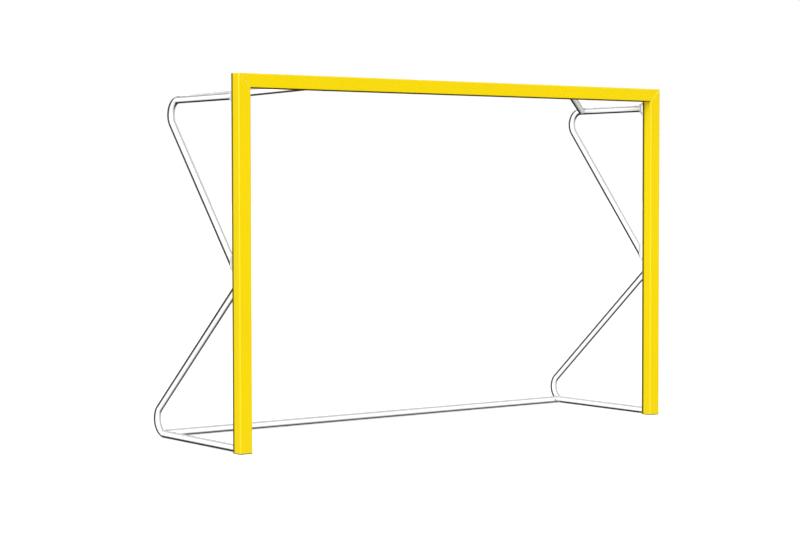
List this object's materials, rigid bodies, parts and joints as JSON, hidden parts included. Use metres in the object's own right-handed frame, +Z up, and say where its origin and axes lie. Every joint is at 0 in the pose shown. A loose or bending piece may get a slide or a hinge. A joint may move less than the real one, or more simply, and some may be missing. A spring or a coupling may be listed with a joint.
{
  "type": "soccer goal frame",
  "caption": "Free-standing goal frame: square yellow posts and crossbar, white round-tube net hoops that fold inwards, braces and a ground bar behind.",
  "frame": {"origin": "on the ground at the centre of the goal's footprint", "axes": "+X along the crossbar towards the right post as seen from the front, +Y from the mouth to the back, +Z up"},
  "size_m": [3.16, 1, 2.08],
  "materials": {
    "yellow_paint": "semi-gloss powder coat",
    "white_paint": "semi-gloss powder coat",
    "zinc_steel": "zinc plated",
    "cast_aluminium": "as cast",
    "dark_plastic": "moulded",
    "bush_plastic": "moulded",
    "hook_plastic": "moulded"
  },
  "bodies": {
    "goal_body": {"crossbar": "yellow_paint", "crossbar_net_hooks": "hook_plastic", "crossbar_screws": "zinc_steel", "crossbar_slot_nuts": "zinc_steel", "ground_bar": "white_paint", "ground_bar_bolts": "zinc_steel", "ground_bar_nuts": "zinc_steel", "left_bar_spigot": "zinc_steel", "left_brace_lug": "white_paint", "left_brace_pivot_bolt": "zinc_steel", "left_brace_pivot_nut": "zinc_steel", "left_corner_connector": "cast_aluminium", "left_corner_screws": "zinc_steel", "left_foot_flange": "white_paint", "left_foot_plug": "dark_plastic", "left_hinge_bolts": "zinc_steel", "left_hinge_nuts": "zinc_steel", "left_lower_hoop": "white_paint", "left_mid_flange": "white_paint", "left_mid_hinge_bracket": "white_paint", "left_post": "yellow_paint", "left_post_net_hooks": "hook_plastic", "left_post_screws": "zinc_steel", "left_post_slot_nuts": "zinc_steel", "left_top_hinge_bracket": "white_paint", "right_bar_spigot": "zinc_steel", "right_brace_lug": "white_paint", "right_brace_pivot_bolt": "zinc_steel", "right_brace_pivot_nut": "zinc_steel", "right_corner_connector": "cast_aluminium", "right_corner_screws": "zinc_steel", "right_foot_flange": "white_paint", "right_foot_plug": "dark_plastic", "right_hinge_bolts": "zinc_steel", "right_hinge_nuts": "zinc_steel", "right_lower_hoop": "white_paint", "right_mid_flange": "white_paint", "right_mid_hinge_bracket": "white_paint", "right_post": "yellow_paint", "right_post_net_hooks": "hook_plastic", "right_post_screws": "zinc_steel", "right_post_slot_nuts": "zinc_steel", "right_top_hinge_bracket": "white_paint"},
    "left_hoop_body": {"left_catch_stud": "white_paint", "left_hoop_bushes": "bush_plastic", "left_hoop_eyes": "white_paint", "left_upper_hoop": "white_paint"},
    "right_hoop_body": {"right_catch_stud": "white_paint", "right_hoop_bushes": "bush_plastic", "right_hoop_eyes": "white_paint", "right_upper_hoop": "white_paint"},
    "left_brace_body": {"left_brace": "white_paint", "left_brace_bushes": "bush_plastic", "left_brace_catch": "white_paint", "left_brace_eye": "white_paint"},
    "right_brace_body": {"right_brace": "white_paint", "right_brace_bushes": "bush_plastic", "right_brace_catch": "white_paint", "right_brace_eye": "white_paint"}
  },
  "joints": [
    {"name": "left_hoop_fold", "type": "hinge", "parent": "goal_body", "child": "left_hoop_body", "pos_m": [-1.54, -0.384, 1.5], "axis": [0, 0, -1], "range_deg": [0, 90]},
    {"name": "left_brace_swing", "type": "hinge", "parent": "goal_body", "child": "left_brace_body", "pos_m": [-0.928, -0.375, 2.039], "axis": [0, 0, -1], "range_deg": [0, 136.8]},
    {"name": "right_hoop_fold", "type": "hinge", "parent": "goal_body", "child": "right_hoop_body", "pos_m": [1.54, -0.384, 1.5], "axis": [0, 0, 1], "range_deg": [0, 90]},
    {"name": "right_brace_swing", "type": "hinge", "parent": "goal_body", "child": "right_brace_body", "pos_m": [0.928, -0.375, 2.039], "axis": [0, 0, 1], "range_deg": [0, 136.8]}
  ],
  "couplings": [
    {"joint": "left_brace_swing", "follows": "left_hoop_fold", "ratio": 1.52},
    {"joint": "right_brace_swing", "follows": "right_hoop_fold", "ratio": 1.52}
  ]
}
